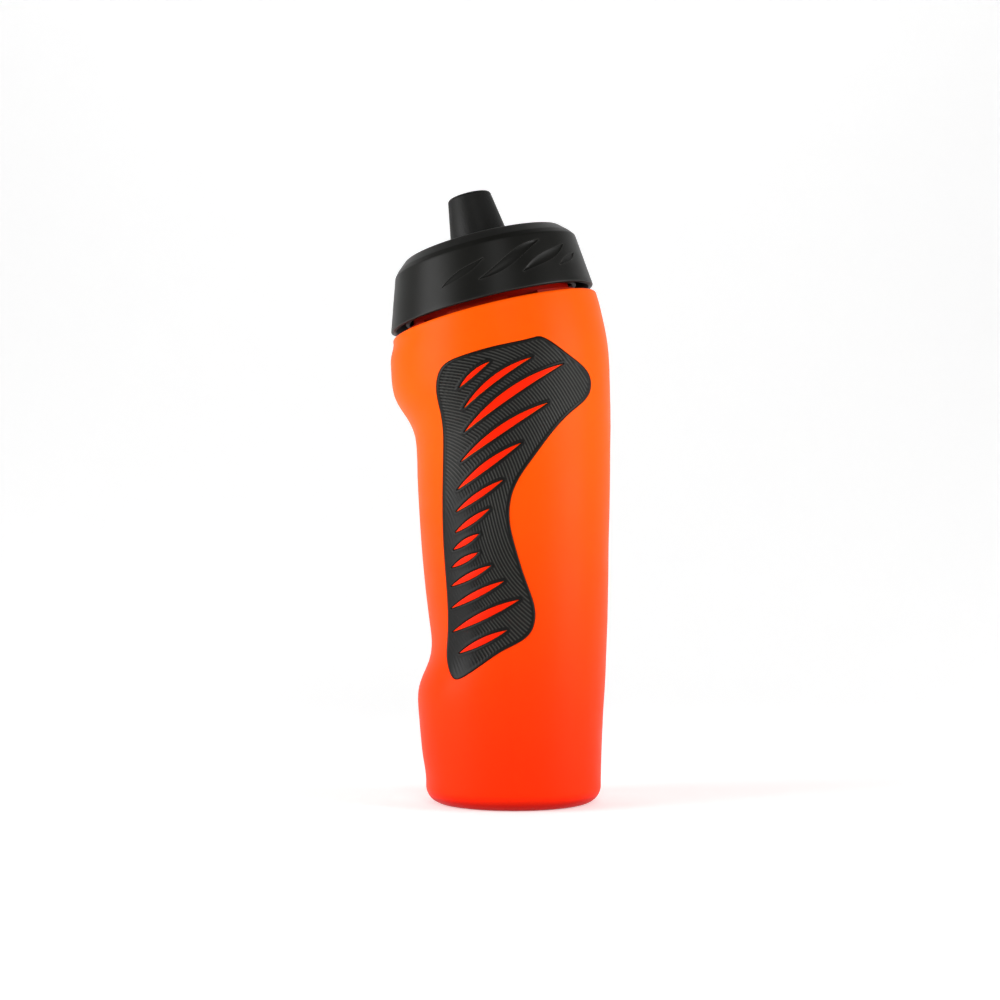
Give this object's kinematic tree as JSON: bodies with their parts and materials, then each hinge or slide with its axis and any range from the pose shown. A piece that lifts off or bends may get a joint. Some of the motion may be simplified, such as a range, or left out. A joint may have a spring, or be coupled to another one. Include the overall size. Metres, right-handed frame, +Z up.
{
  "type": "sports squeeze bottle",
  "caption": "Squeeze bottle with a finger waist, ribbed grip panels let into both sides, and a leaning screw lid with a soft nozzle and a slit valve.",
  "frame": {"origin": "middle of the ring that the bottle stands on, in the plane of the floor", "axes": "+Z up; -X is the front, with the finger waist, and the side the lid and nozzle lean to; the grip panels face -Y and +Y"},
  "size_m": [0.0781, 0.0772, 0.2167],
  "materials": {
    "body_orange": "satin soft polyethylene",
    "grip_black": "matte, finely ribbed",
    "lid_black": "satin",
    "nozzle_black": "matte, fine grain",
    "core_black": "satin",
    "valve_silicone": "matte silicone",
    "gasket_silicone": "matte silicone"
  },
  "bodies": {
    "bottle": {"bottle_body": "body_orange", "left_grip": "grip_black", "right_grip": "grip_black"},
    "seal": {"lid_gasket": "gasket_silicone"},
    "lid": {"lid": "lid_black", "nozzle_core": "core_black", "nozzle": "nozzle_black", "valve_ring": "valve_silicone"},
    "petal_1": {"valve_petal_1": "valve_silicone"},
    "petal_2": {"valve_petal_2": "valve_silicone"},
    "petal_3": {"valve_petal_3": "valve_silicone"},
    "petal_4": {"valve_petal_4": "valve_silicone"}
  },
  "joints": [
    {"name": "lid_turn", "type": "hinge", "parent": "seal", "child": "lid", "pos_m": [-0.008, 0, 0.1742], "axis": [-0.2351, 0, 0.972], "range_deg": [0, 900]},
    {"name": "lid_rise", "type": "slide", "parent": "bottle", "child": "seal", "axis": [-0.2351, 0, 0.972], "range_m": [0, 0.025]},
    {"name": "valve_petal_1_bend", "type": "hinge", "parent": "lid", "child": "petal_1", "pos_m": [-0.01275, 0, 0.21168], "axis": [0, 1, 0], "range_deg": [0, 65], "stiffness_Nm_per_rad": 0.0002},
    {"name": "valve_petal_2_bend", "type": "hinge", "parent": "lid", "child": "petal_2", "pos_m": [-0.01537, 0.0027, 0.21105], "axis": [-0.972, 0, -0.2351], "range_deg": [0, 65], "stiffness_Nm_per_rad": 0.0002},
    {"name": "valve_petal_3_bend", "type": "hinge", "parent": "lid", "child": "petal_3", "pos_m": [-0.018, 0, 0.21041], "axis": [0, -1, 0], "range_deg": [0, 65], "stiffness_Nm_per_rad": 0.0002},
    {"name": "valve_petal_4_bend", "type": "hinge", "parent": "lid", "child": "petal_4", "pos_m": [-0.01537, -0.0027, 0.21105], "axis": [0.972, 0, 0.2351], "range_deg": [0, 65], "stiffness_Nm_per_rad": 0.0002}
  ],
  "couplings": [
    {"joint": "lid_rise", "follows": "lid_turn", "m_per_rad": 0.0015915},
    {"joint": "valve_petal_2_bend", "follows": "valve_petal_1_bend", "ratio": 1},
    {"joint": "valve_petal_3_bend", "follows": "valve_petal_1_bend", "ratio": 1},
    {"joint": "valve_petal_4_bend", "follows": "valve_petal_1_bend", "ratio": 1}
  ]
}
